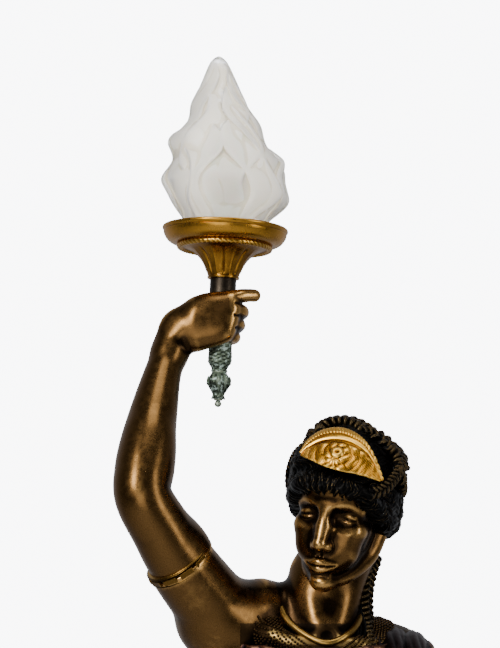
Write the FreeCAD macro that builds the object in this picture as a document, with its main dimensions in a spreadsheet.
import FreeCAD, Part

import math
import os
import re

import Sketcher
from FreeCAD import Placement, Rotation, Vector

# A torchiere floor lamp: a draped standing figure, cast in bronze in hollow sections, on a round
# plinth. The figure's right hand is raised and grips a torch whose dish carries a glass flame
# shade over a screw-in bulb. Millimetres, +Z up, the figure faces -Y, and the origin is the
# centre of the circle that the lamp stands on.

# ---------------------------------------------------------------- driving dimensions
DIMENSIONS = [
    # plinth and what it holds
    ("pad_radius", 16, "felt pad under the plinth"),
    ("pad_height", 5, "felt pad"),
    ("pad_circle", 165, "radius of the circle that the pads stand on"),
    ("plinth_radius", 215, "lower tier of the plinth"),
    ("plinth_height", 105, "plinth, without its pads"),
    ("plinth_wall", 6, "casting wall of the plinth"),
    ("plinth_band", 30, "height of the lower tier's upright band"),
    ("plinth_inset", 24, "how far the upper tier stands back from the lower one"),
    ("plinth_lip", 16, "height of the upper tier's upright band"),
    ("plinth_cove", 10.5, "how much more than half its height the cove's radius is"),
    ("cover_thick", 4, "steel cover plate"),
    ("cover_gap", 1, "gap round the cover plate"),
    ("boss_radius", 8, "screw boss inside the plinth"),
    ("boss_height", 24, "screw boss, above the cover plate"),
    ("boss_setback", 6, "from the plinth's inner wall to a boss's axis"),
    ("screw_radius", 2.4, "cover screw's shank"),
    ("screw_gap", 0.1, "radial clearance round any screw, pin or pipe"),
    ("screw_length", 20, "cover screw's shank"),
    ("screw_head_radius", 4.6, "cover screw's head"),
    ("screw_head_height", 2.6, "cover screw's head"),
    ("ballast_radius", 168, "cast-iron ballast ring"),
    ("ballast_bore", 60, "radius of the ballast ring's hole"),
    ("ballast_height", 36, "cast-iron ballast ring"),
    ("gland_radius", 8, "cord gland's barrel"),
    ("gland_bore", 4, "radius of the cord gland's hole"),
    ("gland_length", 18, "cord gland"),
    ("gland_flange_radius", 12, "cord gland's flange"),
    ("gland_flange_thick", 3, "cord gland's flange"),
    ("gland_rise", 16, "cord gland's axis above the plinth's lower edge"),
    ("terminal_wide", 40, "terminal block"),
    ("terminal_deep", 18, "terminal block"),
    ("terminal_tall", 16, "terminal block"),
    ("terminal_back", 110, "terminal block, behind the lamp's axis"),
    # tie rod and the plates that it clamps
    ("rod_radius", 6.5, "hollow tie rod"),
    ("rod_bore", 4.4, "radius of the tie rod's hole"),
    ("rod_below", 20, "how far the tie rod hangs under the plinth's top"),
    ("rod_above", 22, "how far the tie rod stands over the waist plate"),
    ("nut_flats", 22, "width across flats of the tie rod's nuts"),
    ("nut_height", 10, "tie rod's nuts"),
    ("waist_plate_thick", 6, "plate between the two body castings"),
    # body castings
    ("cast_wall", 5, "casting wall of the figure"),
    ("slab_radius", 182, "ground slab under the feet"),
    ("slab_height", 15, "ground slab"),
    ("slab_bevel", 4, "ground slab's edge"),
    ("foot_length", 150, "foot"),
    ("foot_halfwide", 31, "foot"),
    ("foot_tall", 50, "foot"),
    ("foot_gap", 1.5, "clearance between a foot and the skirt"),
    ("left_foot_x", 62, "left foot's middle"),
    ("left_foot_y", -92, "left foot's middle"),
    ("left_foot_turn", 14, "degrees that the left foot turns out"),
    ("right_foot_x", -84, "right foot's middle"),
    ("right_foot_y", -108, "right foot's middle"),
    ("right_foot_turn", -24, "degrees that the right foot turns out"),
    ("overfold_wall", 4, "overfold's casting wall"),
    ("overfold_drop", 195, "overfold, below the girdle"),
    ("overfold_flare", 20, "how much wider than the skirt the overfold's edge stands"),
    ("girdle_height", 26, "girdle"),
    ("girdle_thick", 9, "girdle"),
    ("neck_radius", 40, "neck"),
    ("neck_lean_x", 6, "how far the neck leans to the side"),
    ("neck_lean_y", -14, "how far the neck leans forward"),
    ("neck_length", 40, "neck, from the collar seam to the jaw"),
    ("torc_ring", 54, "radius of the necklet's centre line"),
    ("torc_thick", 4, "radius of the necklet's section"),
    ("torc_forward", 10, "how far the necklet's middle stands before the neck's"),
    ("torc_tilt", 31, "degrees that the necklet dips at the front"),
    ("shoulder_radius", 51, "right shoulder"),
    ("left_shoulder_x", 124, "left shoulder"),
    ("left_shoulder_y", 6, "left shoulder"),
    ("left_shoulder_drop", 62, "left shoulder, below the shoulder line"),
    ("left_shoulder_radius", 50, "left shoulder"),
    ("right_shoulder_x", -118, "right shoulder"),
    ("right_shoulder_y", -5, "right shoulder"),
    ("right_shoulder_lift", 12, "right shoulder, above the shoulder line"),
    # raised arm, from the right shoulder to the grip
    ("armlet_dx", -48, "armlet, from the right shoulder"),
    ("armlet_dy", -55, "armlet, from the right shoulder"),
    ("armlet_dz", 76, "armlet, from the right shoulder"),
    ("armlet_radius", 39, "raised arm at the armlet"),
    ("armlet_width", 22, "armlet"),
    ("armlet_thick", 6, "armlet"),
    ("elbow_dx", -42, "elbow, from the armlet"),
    ("elbow_dy", -35, "elbow, from the armlet"),
    ("elbow_dz", 74, "elbow, from the armlet"),
    ("elbow_radius", 34, "elbow"),
    ("forearm_dx", 5, "forearm's belly, from the elbow"),
    ("forearm_dy", 22, "forearm's belly, from the elbow"),
    ("forearm_dz", 62, "forearm's belly, from the elbow"),
    ("forearm_radius", 32, "forearm's belly"),
    ("wrist_dx", 23, "wrist, from the forearm's belly"),
    ("wrist_dy", 38, "wrist, from the forearm's belly"),
    ("wrist_dz", 115, "wrist, from the forearm's belly"),
    ("wrist_radius", 20, "wrist"),
    ("grip_dx", 61, "torch's axis, from the wrist"),
    ("grip_dy", 14, "torch's axis, from the wrist"),
    ("grip_dz", 38, "middle of the grip, from the wrist"),
    ("grip_drop", 23, "how much nearer the torch's foot than its cup the grip is"),
    ("grip_height", 73, "four fingers"),
    ("grip_wall", 13, "fingers round the torch"),
    ("finger_radius", 8.5, "outstretched forefinger"),
    ("finger_length", 30, "outstretched forefinger, past the grip"),
    # left arm
    ("left_elbow_dx", 80, "left elbow, from the left shoulder"),
    ("left_elbow_dy", 30, "left elbow, from the left shoulder"),
    ("left_elbow_dz", -222, "left elbow, from the left shoulder"),
    ("left_elbow_radius", 31, "left elbow"),
    ("left_wrist_dx", -6, "left wrist, from the left elbow"),
    ("left_wrist_dy", -96, "left wrist, from the left elbow"),
    ("left_wrist_dz", -165, "left wrist, from the left elbow"),
    ("left_wrist_radius", 20, "left wrist"),
    ("left_hand_length", 96, "left hand"),
    ("left_hand_halfwide", 30, "left hand"),
    ("left_armlet_radius", 43, "left arm at its armlet"),
    # head, in its own frame: +Z to the crown, -Y to the face
    ("head_turn", -20, "degrees that the head turns to its right"),
    ("head_nod", 14, "degrees that the head nods"),
    ("head_lean", 10, "degrees that the head leans to its left"),
    ("head_rise", 83, "head's middle above the neck's top"),
    ("head_dx", 18, "head's middle from the neck's top"),
    ("head_dy", -9, "head's middle from the neck's top"),
    ("hair_thick", 10, "depth of the hair over the skull"),
    ("hairline", 40, "hairline above the head's middle"),
    ("nape_line", -36, "hair's lower edge at the nape, above the head's middle"),
    ("hair_back", 4, "how far the hair sits back on the skull"),
    ("bun_radius", 36, "knot of hair at the back"),
    ("bun_back", 78, "knot of hair, behind the head's middle"),
    ("bun_rise", 26, "knot of hair, above the head's middle"),
    ("braid_radius", 8, "braid's section"),
    ("crown_ring", 40, "radius of the upper braid's ring"),
    ("crown_tilt", 4, "degrees that the upper braid's ring rises at the front"),
    ("braid_back", 12, "how far both rings sit back"),
    ("crown_rise", 92, "upper braid's ring above the head's middle"),
    ("side_ring", 66, "radius of the lower braid's ring"),
    ("side_rise", 56, "lower braid's ring above the head's middle"),
    ("side_tilt", 24, "degrees that the lower braid's ring rises at the front"),
    ("diadem_x", 24, "diadem's middle"),
    ("diadem_y", -55, "diadem's middle"),
    ("diadem_rise", 28, "diadem's lower edge above the head's middle"),
    ("diadem_radius", 54, "diadem's inside"),
    ("diadem_thick", 3, "diadem"),
    ("diadem_height", 54, "diadem, at the front"),
    ("diadem_roll", 14, "degrees that the diadem leans to the figure's left"),
    ("diadem_pitch", 34, "degrees that the diadem leans back"),
    ("lock_x", 56, "hanging lock's upper end, in the head's frame"),
    ("lock_y", 36, "hanging lock's upper end, in the head's frame"),
    ("lock_z", -14, "hanging lock's upper end, in the head's frame"),
    ("lock_radius", 8, "hanging lock of hair"),
    ("lock_length", 96, "hanging lock of hair"),
    # mantle over the left shoulder
    ("mantle_thick", 12, "mantle"),
    ("mantle_left", 66, "mantle's inner edge on the shoulder"),
    ("mantle_right", 132, "mantle's outer edge on the shoulder"),
    # torch, along its own axis from the tip of its finial
    ("torch_lean", 2.3, "degrees that the torch leans to the figure's left"),
    ("tip_radius", 4.3, "ball at the tip"),
    ("bud_foot_radius", 6, "finial bud's lower lip"),
    ("bud_waist_radius", 4.4, "finial bud's stem"),
    ("bud_radius", 13, "finial bud"),
    ("bud_bottom", 8, "finial bud's lower end"),
    ("bud_middle", 31, "finial bud's widest place"),
    ("bud_top", 42, "finial bud's upper end"),
    ("ferrule_radius", 14, "lower handle"),
    ("ferrule_neck_radius", 9, "lower handle's neck"),
    ("ferrule_shoulder", 7, "from the lower handle's neck to its full width"),
    ("ferrule_top", 75, "lower handle's upper end"),
    ("tube_radius", 16, "torch's upper tube"),
    ("tube_wall", 2, "torch's upper tube"),
    ("tube_top", 155, "torch's upper tube, top"),
    ("plug_height", 12, "threaded plug in the tube's top"),
    ("cup_foot_radius", 18, "cup's foot"),
    ("cup_throat_radius", 38, "cup, where it meets its flange"),
    ("cup_curve", 52, "radius of the cup's flare"),
    ("cup_height", 36, "cup, from its foot to its flange"),
    ("cup_wall", 3, "cup"),
    ("cup_flange_radius", 52, "cup's flange"),
    ("cup_flange_thick", 6, "cup's flange"),
    ("rope_radius", 57.5, "rope moulding's outside"),
    ("rope_height", 8, "rope moulding"),
    ("dish_floor_radius", 57, "dish's floor"),
    ("dish_radius", 75.5, "dish's rim"),
    ("dish_height", 20, "dish"),
    ("dish_curve", 30, "radius of the dish's wall"),
    ("dish_wall", 2.6, "dish"),
    ("gallery_gap", 2, "gap round the glass shade's neck inside its holder"),
    ("gallery_wall", 2, "shade holder"),
    ("gallery_height", 14, "shade holder"),
    ("thumb_radius", 2, "thumbscrew's shank"),
    ("thumb_length", 9, "thumbscrew's shank, outside the shade holder"),
    ("thumb_head_radius", 4, "thumbscrew's head"),
    ("thumb_head_thick", 3, "thumbscrew's head"),
    ("thumb_rise", 9, "thumbscrew's axis above the shade holder's floor"),
    ("pipe_radius", 5, "threaded lamp pipe"),
    ("pipe_bore", 3.5, "radius of the lamp pipe's hole"),
    ("pipe_nut_flats", 16, "lamp pipe's nut"),
    ("pipe_nut_height", 4, "lamp pipe's nut"),
    ("socket_radius", 17, "lamp socket"),
    ("socket_wall", 2.5, "lamp socket"),
    ("socket_height", 40, "lamp socket"),
    ("socket_cap_height", 6, "lamp socket's metal cap"),
    ("shell_thick", 0.5, "lamp socket's screw shell"),
    ("contact_radius", 4, "lamp socket's centre contact"),
    ("contact_height", 3, "lamp socket's centre contact"),
    ("bulb_cap_radius", 13, "bulb's screw cap"),
    ("bulb_cap_height", 26, "bulb's screw cap"),
    ("bulb_gap", 0.3, "clearance round the bulb's cap"),
    ("bulb_radius", 29, "bulb"),
    ("bulb_height", 88, "bulb's glass"),
    ("shade_wall", 3, "glass shade"),
    ("tip_solid", 20, "the glass is solid where the flame's radius is less"),
    ("shade_neck_radius", 41, "glass shade's neck"),
    ("shade_neck_drop", 4, "top of the glass shade's straight neck, below the dish's rim"),
    ("shade_gap", 0.5, "gap between the shade and its holder"),
    # lead inside the lamp
    ("lead_radius", 2.6, "internal lead"),
    ("lead_hole", 4.5, "hole for the lead through the hand and the torch's tube"),
    ("lead_bend", 14, "lead's smallest bend radius"),
]

# Outlines of the draped body, each level with the floor: the middle's x and y, the height over
# the ground slab, and half the width and depth.
BODY_OUTLINES = {
    "hem": (0, 0, 0, 172, 148),
    "shin": (4, -4, 190, 142, 122),
    "knee": (4, -8, 415, 134, 118),
    "thigh": (10, -2, 640, 144, 116),
    "hip": (14, 2, 775, 146, 114),
    "waist": (8, 4, 947, 104, 84),
    "midriff": (0, 2, 1050, 110, 90),
    "breast": (-8, -8, 1120, 126, 112),
    "armpit": (-12, 2, 1185, 130, 96),
    "chest": (-10, 6, 1222, 126, 86),
}
# Outlines of the upper chest above the bodice's seam, up to the seam under the necklet.
BUST_OUTLINES = {
    "upper_chest": (-6, 10, 1246, 106, 74),
    "neck_root": (0, 8, 1268, 62, 54),
    "collar_seam": (2, 4, 1282, 44, 43),
}
# Outlines of the skull, level in the head's own frame, from the chin to the crown.
SKULL_OUTLINES = {
    "skull_chin": (0, -50, -96, 17, 14),
    "skull_jaw": (0, -30, -76, 40, 44),
    "skull_mouth": (0, -12, -50, 52, 66),
    "skull_cheek": (0, -3, -10, 60, 77),
    "skull_brow": (0, 2, 30, 62, 79),
    "skull_top": (0, 5, 68, 50, 64),
    "skull_crown": (0, 7, 94, 22, 30),
}
# Outlines of the flame shade, level in the torch's own frame, above the dish's rim.
FLAME_OUTLINES = {
    "flame_foot": (0, 0, 8, 48, 48),
    "flame_low": (0, 0, 30, 66, 66),
    "flame_belly": (-2, 0, 54, 75, 75),
    "flame_waist": (-4, 0, 84, 68, 68),
    "flame_upper": (-10, 0, 112, 58, 58),
    "flame_shoulder": (-12, 0, 140, 42, 42),
    "flame_neck": (-14, 0, 172, 29, 29),
    "flame_point": (-16, 0, 200, 15, 15),
    "flame_tip": (-17, 0, 213, 5, 5),
}
SKIRT = ["hem", "shin", "knee", "thigh", "hip", "waist"]
TORSO = ["waist", "midriff", "breast", "armpit", "chest"]
CHEST = ["chest", "upper_chest", "neck_root", "collar_seam"]
OUTLINE_FIELDS = ("x", "y", "rise", "halfwide", "halfdeep")
RING_POINTS = 16
SCREWS = 3
PADS = 4


# ---------------------------------------------------------------- document and helpers
doc = FreeCAD.newDocument("torchiere")
sheet = doc.addObject("Spreadsheet::Sheet", "dims")


def fill_sheet():
    """Writes every driving dimension into the sheet: its name, its value and what it is."""
    rows = list(DIMENSIONS)
    for table in (BODY_OUTLINES, BUST_OUTLINES, SKULL_OUTLINES, FLAME_OUTLINES):
        for name, values in table.items():
            for field, value in zip(OUTLINE_FIELDS, values):
                rows.append((f"{name}_{field}", value, f"outline {name}"))
    for row, (alias, value, note) in enumerate(rows, start=1):
        sheet.set(f"A{row}", alias)
        sheet.set(f"B{row}", str(value))
        sheet.set(f"C{row}", note)
        sheet.setAlias(f"B{row}", alias)
    doc.recompute()


def formula(text):
    """The sheet's names in a formula, as the document's expressions write them."""
    return re.sub(r"[a-z][a-z_]*", lambda word: "dims." + word.group(0), text)


def size(text):
    """The value of a name or formula of the sheet's names."""
    return float(sheet.evalExpression(formula(text)))


def step(name):
    """The step between two points that the sheet holds as NAME_dx, NAME_dy and NAME_dz."""
    return Vector(size(name + "_dx"), size(name + "_dy"), size(name + "_dz"))


def check(obj):
    """Stops the build if an object failed or holds no sound shape."""
    if any(word in obj.State for word in ("Invalid", "Error")):
        raise RuntimeError(f"{obj.Label} did not recompute: {obj.State}")
    if obj.isDerivedFrom("Part::Feature") and (obj.Shape.isNull() or not obj.Shape.isValid()):
        raise RuntimeError(f"{obj.Label} has no valid shape")


SUBPARTS = []


def subpart(obj, label, placement=None):
    """Names a finished sub-part and puts it in its place."""
    obj.Label = label
    if placement is not None:
        obj.Placement = placement
    SUBPARTS.append(obj)
    return obj


def feature(label, shape, placement=None):
    """A sub-part whose shape is set with Part's own functions."""
    obj = doc.addObject("Part::Feature", label)
    obj.Shape = shape
    return subpart(obj, label, placement)


def new_body(label):
    return doc.addObject("PartDesign::Body", label)


def plane(body, role):
    return next(f for f in body.Origin.OriginFeatures if f.Role == role)


def new_sketch(body, name, role="XY_Plane", lift=None):
    """A sketch on one of the body's origin planes, lifted along its normal if LIFT is given."""
    sketch = body.newObject("Sketcher::SketchObject", name)
    sketch.AttachmentSupport = [(plane(body, role), "")]
    sketch.MapMode = "FlatFace"
    if lift:
        sketch.setExpression(".AttachmentOffset.Base.z", formula(lift))
    return sketch


def fix(sketch, kind, *where, to):
    """Adds a dimension to a sketch, bound to a formula."""
    index = sketch.addConstraint(Sketcher.Constraint(kind, *where, size(to)))
    sketch.setExpression(f"Constraints[{index}]", formula(to))


def add_circle(sketch, radius, x="0", y="0"):
    centre = Vector(size(x), size(y), 0)
    geo = sketch.addGeometry(Part.Circle(centre, Vector(0, 0, 1), size(radius)), False)
    fix(sketch, "Radius", geo, to=radius)
    fix(sketch, "DistanceX", geo, 3, to=x)
    fix(sketch, "DistanceY", geo, 3, to=y)


def add_outline(sketch, points):
    """A closed outline. Each point is (x, y), reached by a line, or (x, y, radius), reached by
    an arc that curves to the left of the way from the last point, or to the right where the
    formula for its radius starts with a minus sign."""
    places = [Vector(size(p[0]), size(p[1]), 0) for p in points]
    ends = []
    for i, point in enumerate(points):
        start, end = places[i - 1], places[i]
        if len(point) == 2:
            geo = sketch.addGeometry(Part.LineSegment(start, end), False)
            ends.append((geo, 1, 2))
            continue
        radius = size(point[2])
        middle, chord = (start + end) / 2, end - start
        side = Vector(-chord.y, chord.x, 0).normalize() * (1 if radius > 0 else -1)
        half = chord.Length / 2
        centre = middle + side * math.sqrt(max(radius * radius - half * half, 0))
        first, last = (start, end) if radius > 0 else (end, start)
        circle = Part.Circle(centre, Vector(0, 0, 1), abs(radius))
        angles = [math.atan2(p.y - centre.y, p.x - centre.x) for p in (first, last)]
        geo = sketch.addGeometry(Part.ArcOfCircle(circle, *angles), False)
        ends.append((geo, 1, 2) if radius > 0 else (geo, 2, 1))
        fix(sketch, "Radius", geo, to=point[2].lstrip("-") if radius < 0 else point[2])
    for i, (geo, first, last) in enumerate(ends):
        following, start, _ = ends[(i + 1) % len(ends)]
        sketch.addConstraint(Sketcher.Constraint("Coincident", geo, last, following, start))
        fix(sketch, "DistanceX", geo, last, to=points[i][0])
        fix(sketch, "DistanceY", geo, last, to=points[i][1])


def revolved(label, points, placement=None):
    """A turned sub-part: a closed outline of (radius, height) points, turned about +Z."""
    body = new_body(label)
    sketch = new_sketch(body, label + "_outline", "XZ_Plane")
    add_outline(sketch, points)
    turn = body.newObject("PartDesign::Revolution", label + "_turn")
    turn.Profile = sketch
    turn.ReferenceAxis = (sketch, ["V_Axis"])
    turn.Angle = 360
    body.Tip = turn
    doc.recompute()
    return subpart(body, label, placement)


def pad_circles(body, name, circles, length, lift=None):
    """A pad of round outlines: (radius,) or (radius, x, y) each."""
    sketch = new_sketch(body, name + "_sketch", lift=lift)
    for circle in circles:
        add_circle(sketch, *circle)
    pad = body.newObject("PartDesign::Pad", name)
    pad.Profile = sketch
    pad.setExpression("Length", formula(length))
    body.Tip = pad
    doc.recompute()
    return pad


def pocket_circles(body, name, circles, depth, lift):
    """A pocket of round outlines, cut downwards from the height LIFT."""
    before = body.Shape.Volume
    sketch = new_sketch(body, name + "_sketch", lift=lift)
    for circle in circles:
        add_circle(sketch, *circle)
    pocket = body.newObject("PartDesign::Pocket", name)
    pocket.Profile = sketch
    pocket.setExpression("Length", formula(depth))
    body.Tip = pocket
    doc.recompute()
    if body.Shape.Volume >= before:
        raise RuntimeError(f"{name} cuts nothing")
    return pocket


def pattern(body, feature_, count, name):
    """Repeats a feature evenly round +Z."""
    polar = body.newObject("PartDesign::PolarPattern", name)
    polar.Originals = [feature_]
    polar.Axis = (plane(body, "Z_Axis"), [""])
    polar.Angle = 360
    polar.Occurrences = count
    body.Tip = polar
    doc.recompute()
    return polar


def cylinder(name, radius, height, x="0", y="0", z="0"):
    """A Part cylinder on the XY plane, bound to the sheet."""
    obj = doc.addObject("Part::Cylinder", name)
    obj.setExpression("Radius", formula(radius))
    obj.setExpression("Height", formula(height))
    for axis, place in zip("xyz", (x, y, z)):
        obj.setExpression(f"Placement.Base.{axis}", formula(place))
    return obj


def group(label, objects, placement=None):
    """Several separate solids in one node."""
    compound = doc.addObject("Part::Compound", label)
    compound.Links = objects
    doc.recompute()
    return subpart(compound, label, placement)


def joined(name, kind, first, second):
    """A Part boolean of two objects."""
    obj = doc.addObject(kind, name)
    if kind == "Part::Cut":
        obj.Base, obj.Tool = first, second
    elif kind == "Part::MultiFuse":
        obj.Shapes = [first, second]
    doc.recompute()
    return obj


def ring(centre, half_wide, half_deep, across=Vector(1, 0, 0), ahead=Vector(0, 1, 0)):
    """A smooth closed outline on an ellipse, with the same number of points every time."""
    turns = [2 * math.pi * i / RING_POINTS for i in range(RING_POINTS)]
    points = [
        centre + across * (half_wide * math.cos(a)) + ahead * (half_deep * math.sin(a))
        for a in turns
    ]
    curve = Part.BSplineCurve()
    curve.interpolate(points, PeriodicFlag=True)
    return Part.Wire([curve.toShape()])


def outline(name, shrink=0.0, lift=0.0):
    """(middle, half width, half depth) of one of the sheet's outlines, SHRINK smaller."""
    middle = Vector(size(name + "_x"), size(name + "_y"), size(name + "_rise") + lift)
    return middle, size(name + "_halfwide") - shrink, size(name + "_halfdeep") - shrink


def stack(names, shrink=0.0, lift=0.0, ends=(0.0, 0.0)):
    """A solid lofted through level outlines. ENDS moves the first one down and the last one up."""
    found = [outline(n, shrink, lift) for n in names]
    found[0] = (found[0][0] - Vector(0, 0, ends[0]), *found[0][1:])
    found[-1] = (found[-1][0] + Vector(0, 0, ends[1]), *found[-1][1:])
    return Part.makeLoft([ring(*f) for f in found], True, False)


def limb(stations, shrink=0.0, ends=0.0):
    """A solid lofted along a limb: a list of (middle, radius), or (middle, radius, depth)."""
    middles = [s[0] for s in stations]
    rings = []
    for i, station in enumerate(stations):
        before = middles[max(i - 1, 0)]
        after = middles[min(i + 1, len(middles) - 1)]
        along = (after - before).normalize()
        across = along.cross(Vector(0, 1, 0)).normalize()
        ahead = across.cross(along).normalize()
        shift = {0: -ends, len(stations) - 1: ends}.get(i, 0)
        deep = station[2] if len(station) > 2 else station[1]
        rings.append(
            ring(station[0] + along * shift, station[1] - shrink, deep - shrink, across, ahead)
        )
    return Part.makeLoft(rings, True, False)


def tube_between(start, end, radius):
    """A round bar from one point to another."""
    return Part.makeCylinder(radius, (end - start).Length, start, end - start)


def one_solid(shape):
    """The shape's largest solid, with split faces joined again."""
    clean = shape.removeSplitter()
    return max(clean.Solids, key=lambda s: s.Volume)


fill_sheet()

# ---------------------------------------------------------------- places shared by several pieces
PLINTH_TOP = "pad_height + plinth_height"
SLAB_TOP = "pad_height + plinth_height + slab_height"
COVER_TOP = "pad_height + cover_thick"
BALLAST_TOP = "pad_height + cover_thick + ballast_height"
WAIST_SEAM = SLAB_TOP + " + waist_rise"
TUBE_TOP = "tube_top"
CUP_TOP = "tube_top + cup_height + cup_flange_thick"
DISH_FLOOR = CUP_TOP + " + dish_wall"
GALLERY_FLOOR = DISH_FLOOR + " + gallery_wall"
GALLERY_RADIUS = "shade_neck_radius + gallery_gap + gallery_wall"
PIPE_TOP = GALLERY_FLOOR + " + pipe_nut_height + socket_cap_height"
SOCKET_BOTTOM = GALLERY_FLOOR + " + pipe_nut_height"
SOCKET_FLOOR = SOCKET_BOTTOM + " + socket_cap_height + socket_wall"
BULB_BOTTOM = SOCKET_FLOOR + " + contact_height + bulb_gap"

ground = size(SLAB_TOP)
shoulder_line = ground + size("collar_seam_rise") - 20
right_shoulder = Vector(
    size("right_shoulder_x"), size("right_shoulder_y"), shoulder_line + size("right_shoulder_lift")
)
left_shoulder = Vector(
    size("left_shoulder_x"), size("left_shoulder_y"), shoulder_line - size("left_shoulder_drop")
)
armlet = right_shoulder + step("armlet")
elbow = armlet + step("elbow")
forearm = elbow + step("forearm")
wrist = forearm + step("wrist")
grip = wrist + step("grip")
left_elbow = left_shoulder + step("left_elbow")
left_wrist = left_elbow + step("left_wrist")

torch_turn = Rotation(Vector(0, 1, 0), size("torch_lean"))
torch_axis = torch_turn.multVec(Vector(0, 0, 1))
grip_middle = (size("ferrule_top") + size("tube_top") - size("grip_drop")) / 2
TORCH = Placement(grip - torch_axis * grip_middle, torch_turn)


def on_torch(height, out=0.0, angle=0.0):
    """A point of the torch's own frame, in the lamp's frame."""
    turn = math.radians(angle)
    return TORCH.multVec(Vector(out * math.cos(turn), out * math.sin(turn), height))


# ---------------------------------------------------------------- plinth
def make_plinth():
    """Turned casting with a stepped outside, open below, with four screw bosses inside."""
    inner = "plinth_radius - plinth_wall"
    upper = "plinth_radius - plinth_inset"
    inner_upper = "plinth_radius - plinth_inset - plinth_wall"
    lip = PLINTH_TOP + " - plinth_lip"
    cove_height = "(plinth_height - plinth_lip - plinth_band - 2 * plinth_wall)"
    body = revolved(
        "plinth",
        [
            ("rod_radius + screw_gap", PLINTH_TOP),
            ("rod_radius + screw_gap", PLINTH_TOP + " - plinth_wall"),
            (inner_upper, PLINTH_TOP + " - plinth_wall"),
            (inner_upper, "pad_height + plinth_band + plinth_wall"),
            (inner, "pad_height + plinth_band - plinth_wall"),
            (inner, "pad_height"),
            ("plinth_radius", "pad_height"),
            ("plinth_radius", "pad_height + plinth_band"),
            (upper + " + plinth_wall", "pad_height + plinth_band + plinth_wall"),
            (upper, lip + " - plinth_wall", f"-({cove_height} / 2 + plinth_cove)"),
            (upper + " + plinth_wall", lip),
            (upper + " + plinth_wall", PLINTH_TOP),
        ],
    )
    front = "-(plinth_radius - plinth_wall - boss_setback)"
    boss = pad_circles(body, "boss", [("boss_radius", "0", front)], "boss_height", COVER_TOP)
    pattern(body, boss, SCREWS, "bosses")
    hole = pocket_circles(
        body,
        "boss_hole",
        [("screw_radius + screw_gap", "0", front)],
        "screw_length",
        COVER_TOP + " + screw_length",
    )
    pattern(body, hole, SCREWS, "boss_holes")
    outlet = new_sketch(body, "outlet_sketch", "XZ_Plane")
    add_circle(outlet, "gland_radius + screw_gap", "0", "pad_height + gland_rise")
    cut = body.newObject("PartDesign::Pocket", "outlet")
    cut.Profile = outlet
    cut.setExpression("Length", formula("plinth_radius + plinth_wall"))
    cut.Reversed = False
    body.Tip = cut
    doc.recompute()
    if cut.Shape.Volume >= hole.Shape.Volume:
        raise RuntimeError("the cord outlet cuts nothing")
    return body


def make_cover():
    """Round steel plate that closes the plinth, its four screws and the felt pads."""
    place = "plinth_radius - plinth_wall - boss_setback"
    body = new_body("cover_plate")
    outer = "plinth_radius - plinth_wall - cover_gap"
    pad_circles(body, "plate", [(outer,), ("rod_radius * 2",)], "cover_thick", "pad_height")
    hole = pocket_circles(
        body,
        "plate_hole",
        [("screw_radius + screw_gap", "0", f"-({place})")],
        "cover_thick",
        COVER_TOP,
    )
    pattern(body, hole, SCREWS, "plate_holes")
    subpart(body, "cover_plate")
    screws, pads = [], []
    for i in range(SCREWS):
        angle = 2 * math.pi * i / SCREWS - math.pi / 2
        x, y = f"({place}) * {math.cos(angle):.6f}", f"({place}) * {math.sin(angle):.6f}"
        low = "pad_height - screw_head_height"
        length = "cover_thick + screw_length"
        shank = cylinder(f"shank_{i}", "screw_radius", length, x, y, "pad_height")
        head = cylinder(f"head_{i}", "screw_head_radius", "screw_head_height", x, y, low)
        screws.append(joined(f"cover_screw_{i}", "Part::MultiFuse", shank, head))
    for i in range(PADS):
        angle = 2 * math.pi * (i + 0.5) / PADS
        x, y = f"pad_circle * {math.cos(angle):.6f}", f"pad_circle * {math.sin(angle):.6f}"
        pads.append(cylinder(f"pad_{i}", "pad_radius", "pad_height", x, y))
    pads.append(cylinder("pad_middle", "pad_radius", "pad_height"))
    group("cover_screws", screws)
    group("felt_pads", pads)


def make_ballast():
    body = new_body("ballast_ring")
    pad_circles(
        body, "iron", [("ballast_radius",), ("ballast_bore",)], "ballast_height", COVER_TOP
    )
    subpart(body, "ballast_ring")


def make_gland():
    """Flanged bush through the back of the plinth, for the supply cord."""
    turn = Rotation(Vector(1, 0, 0), -90)
    place = Placement(Vector(0, size("plinth_radius"), size("pad_height + gland_rise")), turn)
    revolved(
        "cord_gland",
        [
            ("gland_bore", "gland_flange_thick"),
            ("gland_bore", "gland_flange_thick - gland_length"),
            ("gland_radius", "gland_flange_thick - gland_length"),
            ("gland_radius", "0"),
            ("gland_flange_radius", "0"),
            ("gland_flange_radius", "gland_flange_thick"),
        ],
        place,
    )


def make_terminals():
    block = doc.addObject("Part::Box", "terminal_box")
    block.setExpression("Length", formula("terminal_wide"))
    block.setExpression("Width", formula("terminal_deep"))
    block.setExpression("Height", formula("terminal_tall"))
    block.setExpression("Placement.Base.x", formula("-terminal_wide / 2"))
    block.setExpression("Placement.Base.y", formula("terminal_back - terminal_deep / 2"))
    block.setExpression("Placement.Base.z", formula(BALLAST_TOP))
    rounded = doc.addObject("Part::Fillet", "terminal_block")
    doc.recompute()
    rounded.Base = block
    rounded.Edges = [(i, 1.5, 1.5) for i in (1, 3, 5, 7)]
    doc.recompute()
    subpart(rounded, "terminal_block")


# ---------------------------------------------------------------- tie rod
def hexagon(label, flats, bore, height, z):
    """A hexagon nut on +Z."""
    body = new_body(label)
    sketch = new_sketch(body, label + "_sketch", lift=z)
    points = []
    for i in range(6):
        turn = math.radians(60 * i)
        reach = f"{flats} * {math.cos(turn) / math.sqrt(3):.6f}"
        rise = f"{flats} * {math.sin(turn) / math.sqrt(3):.6f}"
        points.append((reach, rise))
    add_outline(sketch, points)
    add_circle(sketch, bore)
    pad = body.newObject("PartDesign::Pad", label + "_pad")
    pad.Profile = sketch
    pad.setExpression("Length", formula(height))
    body.Tip = pad
    doc.recompute()
    return body


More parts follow.
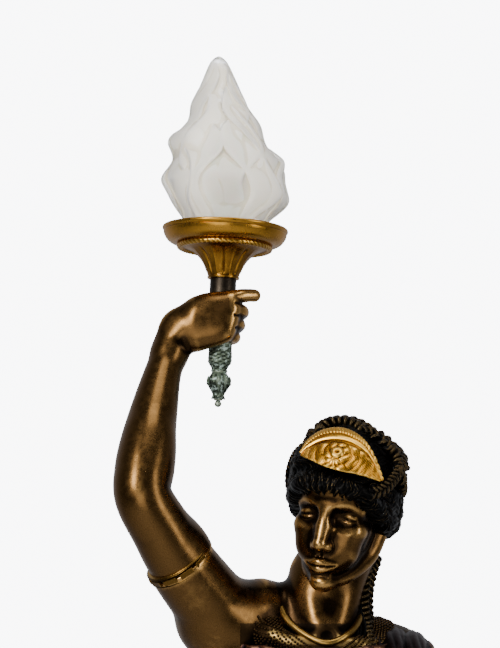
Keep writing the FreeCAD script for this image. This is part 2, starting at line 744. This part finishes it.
def make_tie_rod():
    """Hollow steel rod that ties the lower casting down on the plinth, with a nut at each end."""
    body = new_body("tie_rod")
    bottom = PLINTH_TOP + " - rod_below"
    length = "slab_height + waist_rise + waist_plate_thick + rod_above + rod_below"
    pad_circles(body, "rod", [("rod_radius",), ("rod_bore",)], length, bottom)
    subpart(body, "tie_rod")
    lower = PLINTH_TOP + " - plinth_wall - nut_height"
    upper = WAIST_SEAM + " + waist_plate_thick"
    bore = "rod_radius + screw_gap"
    nuts = [
        hexagon("lower_nut", "nut_flats", bore, "nut_height", lower),
        hexagon("upper_nut", "nut_flats", bore, "nut_height", upper),
    ]
    group("tie_rod_nuts", nuts)


# ---------------------------------------------------------------- lower body
def foot_shape(name, grow=0.0):
    """A foot as a loft from the heel to the toes, its sole on the ground slab."""
    length, half, tall = size("foot_length"), size("foot_halfwide"), size("foot_tall")
    shares = [(-0.5, 0.55, 0.80), (-0.2, 0.80, 1.0), (0.1, 0.95, 0.78), (0.35, 1.0, 0.5), (0.5, 0.7, 0.3)]
    rings = []
    for along, wide, high in shares:
        centre = Vector(0, -along * length, high * tall / 2)
        rings.append(
            ring(centre, half * wide + grow, high * tall / 2 + grow, Vector(1, 0, 0), Vector(0, 0, 1))
        )
    shape = Part.makeLoft(rings, True, False)
    place = Vector(size(name + "_x"), size(name + "_y"), ground)
    shape.Placement = Placement(place, Rotation(Vector(0, 0, 1), size(name + "_turn")))
    return shape


def above(shape, height):
    """What of the shape lies above a level."""
    box = shape.BoundBox
    slab = Part.makeBox(
        box.XLength + 20, box.YLength + 20, 200, Vector(box.XMin - 10, box.YMin - 10, height - 200)
    )
    return shape.cut(slab)


def make_lower_body():
    revolved(
        "ground_slab",
        [
            ("rod_radius + screw_gap", SLAB_TOP),
            ("rod_radius + screw_gap", PLINTH_TOP),
            ("slab_radius", PLINTH_TOP),
            ("slab_radius", SLAB_TOP + " - slab_bevel"),
            ("slab_radius - slab_bevel", SLAB_TOP),
        ],
    )
    outer = stack(SKIRT, lift=ground)
    inner = stack(SKIRT, shrink=size("cast_wall"), lift=ground, ends=(1, 1))
    skirt = outer.cut(inner)
    for name in ("left_foot", "right_foot"):
        skirt = skirt.cut(foot_shape(name, size("foot_gap")))
        feature(name, one_solid(above(foot_shape(name), ground)))
    feature("skirt", one_solid(skirt))
    seam = size(WAIST_SEAM)
    hole = Part.makeCylinder(size("rod_radius + screw_gap"), seam, Vector(0, 0, seam / 2))
    feature("waist_plate", one_solid(waist_plate().cut(hole)))


def waist_plate():
    """The plate between the two body castings, without its hole."""
    level, wide, deep = outline("waist", lift=ground)
    upper = level + Vector(0, 0, size("waist_plate_thick"))
    return Part.makeLoft([ring(level, wide, deep), ring(upper, wide, deep)], True)


def torso(shrink=0.0, over=0.0):
    """The bodice's solid above the waist plate, OVER longer at both ends."""
    lower = over - size("waist_plate_thick")
    return stack(TORSO, shrink, ground, ends=(lower, over))


def make_overfold():
    """Flounce of the dress below the girdle, close to the skirt above and flared below."""
    top = size(WAIST_SEAM + " + (waist_plate_thick - girdle_height) / 2")
    drop, flare, wall = size("overfold_drop"), size("overfold_flare"), size("overfold_wall")
    skirt = stack(SKIRT, lift=ground)
    outer, inner = [], []
    for share in (0, 0.35, 0.7, 1.0):
        level = min(top - drop * share, size(WAIST_SEAM) - 1)
        box = skirt.slice(Vector(0, 0, 1), level)[0].BoundBox
        middle = Vector(box.Center.x, box.Center.y, top - drop * share)
        wide, deep = box.XLength / 2 + flare * share, box.YLength / 2 + flare * share
        outer.append(ring(middle, wide + wall, deep + wall))
        inner.append(ring(middle, wide, deep))
    shape = Part.makeLoft(outer, True, False).cut(Part.makeLoft(inner, True, False))
    feature("overfold", one_solid(shape.cut(skirt)))


def make_girdle():
    """Belt over the seam of the two body castings, shaped to fit both."""
    half, thick = size("girdle_height") / 2, size("girdle_thick")
    level, wide, deep = outline("waist", lift=ground)
    middle = level.z + size("waist_plate_thick") / 2
    ends = [Vector(level.x, level.y, middle + z) for z in (-half, half)]
    band = Part.makeLoft([ring(p, wide + thick, deep + thick) for p in ends], True)
    feature("girdle", one_solid(band.cut([stack(SKIRT, lift=ground), waist_plate(), torso()])))


# ---------------------------------------------------------------- upper body
def make_bodice():
    shape = torso().cut(torso(size("cast_wall"), 1))
    for stations in (right_arm_stub(), left_arm_stub()):
        shape = shape.cut(limb(stations, ends=1))
    feature("bodice", one_solid(shape))


def right_arm_stub():
    """From inside the chest over the right shoulder to the seam under the armlet."""
    inside = Vector(-30, 8, shoulder_line - 22)
    return [
        (inside, 34),
        (right_shoulder + Vector(34, 6, -22), 46),
        (right_shoulder, size("shoulder_radius") - 4),
        (armlet - step("armlet") * 0.45, size("armlet_radius") + 4),
        (armlet, size("armlet_radius")),
    ]


def left_arm_stub():
    """From inside the chest over the left shoulder to the left armlet's seam."""
    down = step("left_elbow")
    return [
        (Vector(26, 8, shoulder_line - 26), 34),
        (left_shoulder + Vector(-32, 2, 0), 44),
        (left_shoulder, size("left_shoulder_radius") - 6),
        (left_shoulder + down * 0.22, size("left_armlet_radius")),
        (left_shoulder + down * 0.42, size("left_armlet_radius") - 5),
    ]


def bust_outside(shrink=0.0, over=0.0):
    """The upper chest with both shoulders as one solid, SHRINK smaller and OVER longer."""
    shape = stack(CHEST, shrink, ground, (over, over))
    for stations in (right_arm_stub(), left_arm_stub()):
        shape = shape.fuse(limb(stations, shrink, over))
    return shape


def make_bust():
    """Upper chest and shoulders, from the bodice's seam to the seams under the necklet, the
    right armlet and the left armlet."""
    wall = size("cast_wall")
    feature("bust", one_solid(bust_outside().cut([bust_outside(wall, 1), torso(wall, 0)])))


def make_mantle():
    """Fold of the cloak over the left shoulder, from the girdle in front to the girdle behind,
    lying on the bodice, the bust and the arm."""
    thick = size("mantle_thick")
    low = size(WAIST_SEAM + " + (waist_plate_thick + girdle_height) / 2")
    left, right = size("mantle_left"), size("mantle_right")
    window = Part.makeBox(right - left, 600, 600, Vector(left, -300, low))
    chest = stack(CHEST, -thick, ground)
    layers = [torso(-thick), chest, limb(left_arm_stub(), shrink=-thick)]
    first, *others = [layer.common(window) for layer in layers]
    shape = first.fuse(others)
    arms = [limb(left_arm_stub()), limb(left_arm_stations())]
    arms.append(limb(left_arm_stations(), shrink=-size("armlet_thick")))
    for body in [torso(), stack(CHEST, lift=ground), left_band()] + arms:
        shape = shape.cut(body)
    feature("mantle", max(shape.Solids, key=lambda solid: solid.Volume))


def band(middle, along, radius):
    """An armlet's outside, as a solid cylinder about the arm's seam."""
    wide, thick = size("armlet_width"), size("armlet_thick")
    along = along.normalize()
    return Part.makeCylinder(radius + thick, wide, middle - along * (wide / 2), along)


def left_band():
    seam, radius = left_arm_stub()[-1]
    return band(seam, step("left_elbow"), radius)


def make_armlets():
    """Bands that cover the arms' seams."""
    right = band(armlet, elbow - armlet, size("armlet_radius"))
    feature("right_armlet", one_solid(right.cut([limb(right_arm_stub()), limb(arm_stations())])))
    arms = [limb(left_arm_stub()), limb(left_arm_stations())]
    feature("left_armlet", one_solid(left_band().cut(arms)))


# ---------------------------------------------------------------- arms
def arm_stations():
    """The raised arm's middles and radii, from the armlet to the wrist."""
    return [
        (armlet, size("armlet_radius")),
        (armlet + step("elbow") * 0.55, size("armlet_radius") - 2),
        (elbow, size("elbow_radius")),
        (elbow + step("forearm") * 0.5, size("elbow_radius")),
        (forearm, size("forearm_radius")),
        (forearm + step("wrist") * 0.55, (size("forearm_radius") + size("wrist_radius")) / 2 - 1),
        (wrist, size("wrist_radius")),
    ]


def lead_route_in_hand():
    """Where the lead leaves the forearm and where it meets the torch's axis."""
    return wrist, grip + torch_axis * 6


def make_raised_arm():
    """Raised arm and hand in one casting, hollow to the wrist, with a bore for the torch and a
    drilled way for the lead."""
    wall = size("cast_wall") - 1
    outer = limb(arm_stations())
    inner = limb(arm_stations(), shrink=wall, ends=1)
    to_grip = grip - wrist
    palm = limb(
        [
            (wrist - (wrist - forearm).normalize() * 6, size("wrist_radius"), size("wrist_radius")),
            (wrist + to_grip * 0.30, size("wrist_radius") + 6, size("wrist_radius") - 2),
            (wrist + to_grip * 0.62, size("wrist_radius") + 10, size("wrist_radius") - 3),
            (wrist + to_grip * 0.90, size("wrist_radius") + 11, size("wrist_radius") - 4),
        ]
    )
    half = size("grip_height") / 2
    bore = size("tube_radius") + size("screw_gap")
    fist = Part.makeCylinder(bore + size("grip_wall"), 2 * half, grip - torch_axis * half, torch_axis)
    fist = fist.makeFillet(9, [e for e in fist.Edges if len(e.Vertexes) == 1])
    finger_at = grip + torch_axis * (half - size("finger_radius"))
    tip = finger_at + Vector(bore + size("grip_wall") + size("finger_length") - 12, -8, 0)
    side = Vector(0, -bore - 4, 0)
    finger = tube_between(finger_at + side, tip + side * 0.2, size("finger_radius"))
    finger = finger.fuse(Part.makeSphere(size("finger_radius"), tip + side * 0.2))
    through = Part.makeCylinder(bore, 4 * half, grip - torch_axis * 2 * half, torch_axis)
    start, end = lead_route_in_hand()
    way = tube_between(start, end, size("lead_hole"))
    shape = outer.fuse([palm, fist, finger]).cut([inner, through, way, limb(right_arm_stub())])
    feature("raised_arm", one_solid(shape))


def left_arm_stations():
    """The lowered arm's middles and radii, from the left armlet to the wrist."""
    down, on = step("left_elbow"), step("left_wrist")
    return [
        left_arm_stub()[-1],
        (left_shoulder + down * 0.7, size("left_armlet_radius") - 8),
        (left_elbow, size("left_elbow_radius")),
        (left_elbow + on * 0.35, size("left_elbow_radius")),
        (left_elbow + on * 0.7, (size("left_elbow_radius") + size("left_wrist_radius")) / 2),
        (left_wrist, size("left_wrist_radius")),
    ]


def make_left_arm():
    """Lowered arm with its hand, hollow to the wrist."""
    wall = size("cast_wall") - 1
    stations = left_arm_stations()
    on = step("left_wrist")
    reach = on.normalize() * size("left_hand_length")
    half = size("left_hand_halfwide")
    hand = limb(
        [
            (left_wrist - reach * 0.05, size("left_wrist_radius") - 1, size("left_wrist_radius")),
            (left_wrist + reach * 0.3, half * 0.6, half),
            (left_wrist + reach * 0.65, half * 0.6, half * 0.9),
            (left_wrist + reach, half * 0.4, half * 0.5),
        ]
    )
    hollow = [limb(stations, shrink=wall, ends=1), limb(left_arm_stub())]
    shape = limb(stations).fuse(hand).cut(hollow)
    feature("left_arm", one_solid(shape))


# ---------------------------------------------------------------- head
neck_foot = Vector(size("collar_seam_x"), size("collar_seam_y"), ground + size("collar_seam_rise"))
neck_top = neck_foot + Vector(size("neck_lean_x"), size("neck_lean_y"), size("neck_length"))
head_middle = neck_top + Vector(size("head_dx"), size("head_dy"), size("head_rise"))
HEAD = Placement(
    head_middle,
    Rotation(Vector(0, 0, 1), size("head_turn"))
    * Rotation(Vector(0, 1, 0), size("head_lean"))
    * Rotation(Vector(1, 0, 0), size("head_nod")),
)


def skull(grow=0.0, back=0.0):
    """The skull's solid, GROW larger all round and moved BACK in the head's frame."""
    shape = stack(list(SKULL_OUTLINES), shrink=-grow, ends=(grow, grow))
    shape.Placement = HEAD * Placement(Vector(0, back, 0), Rotation())
    return shape


def head_casting(shrink=0.0):
    """Head and neck in one solid, SHRINK smaller all round and open-ended below."""
    up = HEAD.multVec(Vector(0, 10, -40))
    radius = size("neck_radius") - shrink
    foot = neck_foot - Vector(0, 0, 1 if shrink else 0)
    wide, deep = size("collar_seam_halfwide") - shrink, size("collar_seam_halfdeep") - shrink
    rings = [ring(foot, wide, deep)]
    rings += [ring(neck_foot + (up - neck_foot) * share, radius, radius) for share in (0.4, 0.7, 1)]
    return skull(-shrink).fuse(Part.makeLoft(rings, True, False))


def make_head():
    """Head and neck in one hollow casting that sits on the seam under the necklet."""
    shape = head_casting().cut(head_casting(size("cast_wall"))).cut(bust_outside())
    feature("head", one_solid(shape))


def in_head(shape):
    shape.Placement = HEAD * shape.Placement
    return shape


def hair_cap():
    """The skull with the hair's whole depth round it."""
    return skull(size("hair_thick"), size("hair_back"))


def make_hair():
    """Hair casting over the skull, open at the face and the nape, its knot behind, and the lock
    that hangs from it beside the neck."""
    wide = 3 * size("skull_brow_halfdeep")
    face = in_head(Part.makeBox(wide, wide, wide, Vector(-wide / 2, -wide, size("hairline") - wide)))
    low = size("nape_line")
    nape = in_head(Part.makeBox(wide, wide, wide, Vector(-wide / 2, -wide / 2, low - wide)))
    hair = one_solid(hair_cap().cut([head_casting(), face, nape]))
    feature("hair", hair)
    middle = Vector(0, size("bun_back"), size("bun_rise"))
    feature("hair_knot", one_solid(in_head(Part.makeSphere(size("bun_radius"), middle)).cut(hair_cap())))
    radius = size("lock_radius")
    start = HEAD.multVec(Vector(size("lock_x"), size("lock_y"), size("lock_z")))
    fall = Vector(0, 0, -size("lock_length"))
    lock = limb([(start, radius), (start + fall * 0.5, radius * 1.1), (start + fall, radius * 0.8)])
    feature("hanging_lock", one_solid(lock.cut([hair, head_casting()])))


def braid_rings():
    """The two braids' whole rings: the upper one round the crown, the lower one round the head."""
    rings = []
    for name in ("crown", "side"):
        braid = Part.makeTorus(size(name + "_ring"), size("braid_radius"))
        turn = Rotation(Vector(1, 0, 0), -size(name + "_tilt"))
        braid.Placement = Placement(Vector(0, size("braid_back"), size(name + "_rise")), turn)
        rings.append(in_head(braid))
    return rings


def make_braids():
    """The braids, as far as they stand out of the hair."""
    upper, lower = braid_rings()
    feature("upper_braid", one_solid(upper.cut(hair_cap())))
    feature("lower_braid", one_solid(lower.cut([hair_cap(), upper])))


def make_diadem():
    """Gilt crescent over the brow: a curved plate cut to nothing at its tips."""
    inside, thick, height = size("diadem_radius"), size("diadem_thick"), size("diadem_height")
    plate = Part.makeCylinder(inside + thick, height).cut(Part.makeCylinder(inside, height))
    slope = math.degrees(math.atan2(height, inside * 0.75))
    keep = Part.makeBox(4 * inside, 4 * inside, 4 * inside, Vector(-2 * inside, 0, -2 * inside))
    keep.Placement = Placement(Vector(0, -inside / 4, 0), Rotation(Vector(1, 0, 0), 90 - slope))
    band = plate.cut(keep)
    band.Placement = Placement(
        Vector(size("diadem_x"), size("diadem_y"), head_middle.z + size("diadem_rise")),
        Rotation(Vector(0, 1, 0), size("diadem_roll"))
        * Rotation(Vector(1, 0, 0), -size("diadem_pitch")),
    )
    feature("diadem", one_solid(band.cut([hair_cap()] + braid_rings())))


def make_necklet():
    """Gilt tube round the neck, over the seam between the head and the bust."""
    torc = Part.makeTorus(size("torc_ring"), size("torc_thick"))
    torc.Placement = Placement(
        neck_foot + Vector(0, -size("torc_forward"), 0), Rotation(Vector(1, 0, 0), size("torc_tilt"))
    )
    feature("necklet", one_solid(torc.cut(head_casting()).cut(bust_outside())))


# ---------------------------------------------------------------- torch
def make_torch():
    """Finial, lower handle, upper tube with its plug, cup, rope moulding and dish."""
    revolved(
        "finial_tip",
        [
            ("0", "0"),
            ("tip_radius", "tip_radius", "tip_radius"),
            ("bud_waist_radius - 1.4", "bud_bottom", "tip_radius * 1.6"),
            ("0", "bud_bottom"),
        ],
        TORCH,
    )
    revolved(
        "finial_bud",
        [
            ("0", "bud_bottom"),
            ("bud_foot_radius - 1", "bud_bottom"),
            ("bud_foot_radius", "bud_bottom + 2"),
            ("bud_waist_radius", "bud_bottom + 6"),
            ("bud_radius", "bud_middle", "-bud_middle"),
            ("ferrule_neck_radius - 1", "bud_top", "bud_radius"),
            ("0", "bud_top"),
        ],
        TORCH,
    )
    revolved(
        "lower_handle",
        [
            ("0", "bud_top"),
            ("ferrule_neck_radius", "bud_top"),
            ("ferrule_neck_radius", "bud_top + 3"),
            ("ferrule_radius", "bud_top + 3 + ferrule_shoulder"),
            ("ferrule_radius", "ferrule_top"),
            ("0", "ferrule_top"),
        ],
        TORCH,
    )
    tube = revolved(
        "torch_tube",
        [
            ("tube_radius - tube_wall", "tube_top"),
            ("tube_radius - tube_wall", "ferrule_top"),
            ("tube_radius", "ferrule_top"),
            ("tube_radius", "tube_top"),
        ],
    )
    SUBPARTS.remove(tube)
    tube.Label = "tube_turning"
    start, end = lead_route_in_hand()
    local = TORCH.inverse()
    way = tube_between(local.multVec(start), local.multVec(end), size("lead_hole"))
    feature("torch_tube", one_solid(tube.Shape.cut(way)), TORCH)
    revolved(
        "tube_plug",
        [
            ("pipe_radius + screw_gap", "tube_top"),
            ("pipe_radius + screw_gap", "tube_top - plug_height"),
            ("tube_radius - tube_wall - screw_gap", "tube_top - plug_height"),
            ("tube_radius - tube_wall - screw_gap", "tube_top"),
        ],
        TORCH,
    )
    flange = "tube_top + cup_height"
    revolved(
        "torch_cup",
        [
            ("pipe_radius + screw_gap", "tube_top + cup_wall"),
            ("pipe_radius + screw_gap", "tube_top"),
            ("cup_foot_radius", "tube_top"),
            ("cup_throat_radius", flange, "-cup_curve"),
            ("cup_flange_radius", flange),
            ("cup_flange_radius", flange + " + cup_flange_thick"),
            ("cup_throat_radius - cup_wall", flange + " + cup_flange_thick"),
            ("cup_throat_radius - cup_wall", flange),
            ("cup_foot_radius - cup_wall", "tube_top + cup_wall", "cup_curve"),
        ],
        TORCH,
    )
    revolved(
        "rope_moulding",
        [
            ("cup_flange_radius", CUP_TOP),
            ("cup_flange_radius", CUP_TOP + " - rope_height"),
            ("rope_radius - rope_height / 4", CUP_TOP + " - rope_height"),
            ("rope_radius - rope_height / 4", CUP_TOP, "rope_height * 0.6"),
        ],
        TORCH,
    )
    floor, rim = "dish_floor_radius", CUP_TOP + " + dish_height"
    revolved(
        "torch_dish",
        [
            ("pipe_radius + screw_gap", DISH_FLOOR),
            ("pipe_radius + screw_gap", CUP_TOP),
            (floor, CUP_TOP),
            ("dish_radius", rim, "dish_curve"),
            ("dish_radius - dish_wall", rim),
            (floor + " - dish_wall * 0.3", DISH_FLOOR, "-(dish_curve - dish_wall)"),
        ],
        TORCH,
    )


def make_gallery():
    """Shade holder on the dish's floor, with three thumbscrews that hold the shade's neck."""
    top = DISH_FLOOR + " + gallery_height"
    inside = "shade_neck_radius + gallery_gap"
    body = revolved(
        "shade_holder",
        [
            ("pipe_radius + screw_gap", GALLERY_FLOOR),
            ("pipe_radius + screw_gap", DISH_FLOOR),
            (GALLERY_RADIUS, DISH_FLOOR),
            (GALLERY_RADIUS, top),
            (inside, top),
            (inside, GALLERY_FLOOR),
        ],
    )
    SUBPARTS.remove(body)
    body.Label = "holder_turning"
    shape = body.Shape
    height = size(GALLERY_FLOOR + " + thumb_rise")
    reach = size(GALLERY_RADIUS + " + thumb_length")
    for i in range(3):
        turn = math.radians(120 * i + 30)
        out = Vector(math.cos(turn), math.sin(turn), 0)
        hole = size("thumb_radius + screw_gap")
        shape = shape.cut(Part.makeCylinder(hole, reach, Vector(0, 0, height), out))
        start = out * size("shade_neck_radius + shade_gap")
        length = reach - size("shade_neck_radius + shade_gap")
        screw = Part.makeCylinder(size("thumb_radius"), length, start + Vector(0, 0, height), out)
        at = Vector(0, 0, height) + out * reach
        head = Part.makeCylinder(size("thumb_head_radius"), size("thumb_head_thick"), at, out)
        feature(f"thumbscrew_{'abc'[i]}", one_solid(screw.fuse(head)), TORCH)
    feature("shade_holder", one_solid(shape), TORCH)


def make_lamp_holder():
    """Threaded pipe with its nuts, and the socket with its shell and contact."""
    pipe_foot = "tube_top - plug_height - 6"
    revolved(
        "lamp_pipe",
        [
            ("pipe_bore", PIPE_TOP),
            ("pipe_bore", pipe_foot),
            ("pipe_radius", pipe_foot),
            ("pipe_radius", PIPE_TOP),
        ],
        TORCH,
    )
    nut = hexagon(
        "pipe_nut",
        "pipe_nut_flats",
        "pipe_radius + screw_gap",
        "pipe_nut_height",
        GALLERY_FLOOR,
    )
    subpart(nut, "pipe_nut", TORCH)
    cap_top = SOCKET_BOTTOM + " + socket_cap_height"
    revolved(
        "socket_cap",
        [
            ("pipe_radius + screw_gap", cap_top),
            ("pipe_radius + screw_gap", SOCKET_BOTTOM),
            ("socket_radius - socket_wall", SOCKET_BOTTOM),
            ("socket_radius", SOCKET_BOTTOM + " + socket_wall"),
            ("socket_radius", cap_top),
        ],
        TORCH,
    )
    top = SOCKET_BOTTOM + " + socket_height"
    inside = "bulb_cap_radius + bulb_gap + shell_thick"
    revolved(
        "socket_body",
        [
            ("0", SOCKET_FLOOR),
            ("0", cap_top),
            ("socket_radius", cap_top),
            ("socket_radius", top),
            (inside, top),
            (inside, SOCKET_FLOOR),
        ],
        TORCH,
    )
    revolved(
        "socket_shell",
        [
            ("bulb_cap_radius + bulb_gap", top),
            ("bulb_cap_radius + bulb_gap", SOCKET_FLOOR),
            (inside, SOCKET_FLOOR),
            (inside, top),
        ],
        TORCH,
    )
    revolved(
        "socket_contact",
        [
            ("0", SOCKET_FLOOR + " + contact_height"),
            ("0", SOCKET_FLOOR),
            ("contact_radius", SOCKET_FLOOR),
            ("contact_radius", SOCKET_FLOOR + " + contact_height"),
        ],
        TORCH,
    )


def make_bulb():
    """Bulb with its screw cap; the glass closes over the cap's upper edge."""
    cap_top = BULB_BOTTOM + " + bulb_cap_height"
    revolved(
        "bulb_cap",
        [
            ("0", cap_top),
            ("0", BULB_BOTTOM),
            ("contact_radius", BULB_BOTTOM),
            ("bulb_cap_radius", BULB_BOTTOM + " + contact_radius"),
            ("bulb_cap_radius", cap_top),
        ],
        TORCH,
    )
    widest = cap_top + " + bulb_height - bulb_radius"
    revolved(
        "bulb_glass",
        [
            ("0", cap_top),
            ("bulb_cap_radius", cap_top),
            ("bulb_cap_radius", cap_top + " + bulb_radius / 4"),
            ("bulb_radius", widest),
            ("0", cap_top + " + bulb_height", "bulb_radius"),
        ],
        TORCH,
    )


def make_shade():
    """Closed glass flame with an open neck, a loft through round outlines that wander off the
    axis."""
    wall = size("shade_wall")
    rim = size(CUP_TOP + " + dish_height")
    neck_low = size(GALLERY_FLOOR + " + shade_gap")
    neck_top = rim - size("shade_neck_drop")
    neck = size("shade_neck_radius")
    rows = [(Vector(0, 0, neck_low), neck, neck), (Vector(0, 0, neck_top), neck, neck)]
    rows += [outline(name, lift=rim) for name in FLAME_OUTLINES]
    outer = [ring(*row) for row in rows]
    inner = [ring(p, w - wall, d - wall) for p, w, d in rows if w > size("tip_solid")]
    inner[0] = ring(Vector(0, 0, neck_low - 1), neck - wall, neck - wall)
    shape = Part.makeLoft(outer, True, False).cut(Part.makeLoft(inner, True, False))
    feature("glass_shade", one_solid(shape), TORCH)


# ---------------------------------------------------------------- internal lead
def rounded_path(points, bend):
    """Straight runs joined by tangent arcs."""
    edges, last = [], points[0]
    for before, corner, after in zip(points, points[1:], points[2:]):
        back, on = (before - corner).normalize(), (after - corner).normalize()
        half = back.getAngle(on) / 2
        cut = bend / math.tan(half)
        cut = min(cut, 0.45 * (before - corner).Length, 0.45 * (after - corner).Length)
        start, end = corner + back * cut, corner + on * cut
        inward = (back + on).normalize()
        radius = cut * math.tan(half)
        middle = corner + inward * (cut / math.cos(half) - radius)
        edges.append(Part.LineSegment(last, start).toShape())
        edges.append(Part.Arc(start, middle, end).toShape())
        last = end
    edges.append(Part.LineSegment(last, points[-1]).toShape())
    return Part.Wire(edges)


def make_lead():
    """Two-core lead from the terminal block through the tie rod, the body, the raised arm and
    the torch's tube to the socket."""
    radius = size("lead_radius")
    low = size(BALLAST_TOP + " + terminal_tall / 2")
    front = size("terminal_back - terminal_deep / 2")
    start, meet = lead_route_in_hand()
    points = [
        Vector(0, front, low),
        Vector(0, 0, low),
        Vector(0, 0, size(WAIST_SEAM + " + waist_plate_thick + rod_above") + 20),
        Vector(-30, 8, shoulder_line - 30),
        right_shoulder,
        armlet,
        elbow,
        forearm,
        start,
        meet,
        on_torch(size(SOCKET_BOTTOM + " + socket_cap_height")),
    ]
    path = rounded_path(points, size("lead_bend"))
    way = points[1] - points[0]
    profile = Part.Wire([Part.Circle(points[0], way, radius).toShape()])
    sweep = path.makePipeShell([profile], True, True)
    feature("internal_lead", sweep)


make_plinth()
make_cover()
make_ballast()
make_gland()
make_terminals()
make_tie_rod()
make_lower_body()
make_overfold()
make_girdle()
make_bodice()
make_bust()
make_armlets()
make_raised_arm()
make_left_arm()
make_head()
make_hair()
make_braids()
make_diadem()
make_necklet()
make_mantle()
make_torch()
make_gallery()
make_lamp_holder()
make_bulb()
make_shade()
make_lead()

# ---------------------------------------------------------------- checks and export
doc.recompute()
for obj in doc.Objects:
    check(obj)
os.makedirs("parts", exist_ok=True)
for obj in SUBPARTS:
    obj.Shape.exportStep(os.path.join("parts", obj.Label + ".step"))
print(f"{len(SUBPARTS)} sub-parts written")
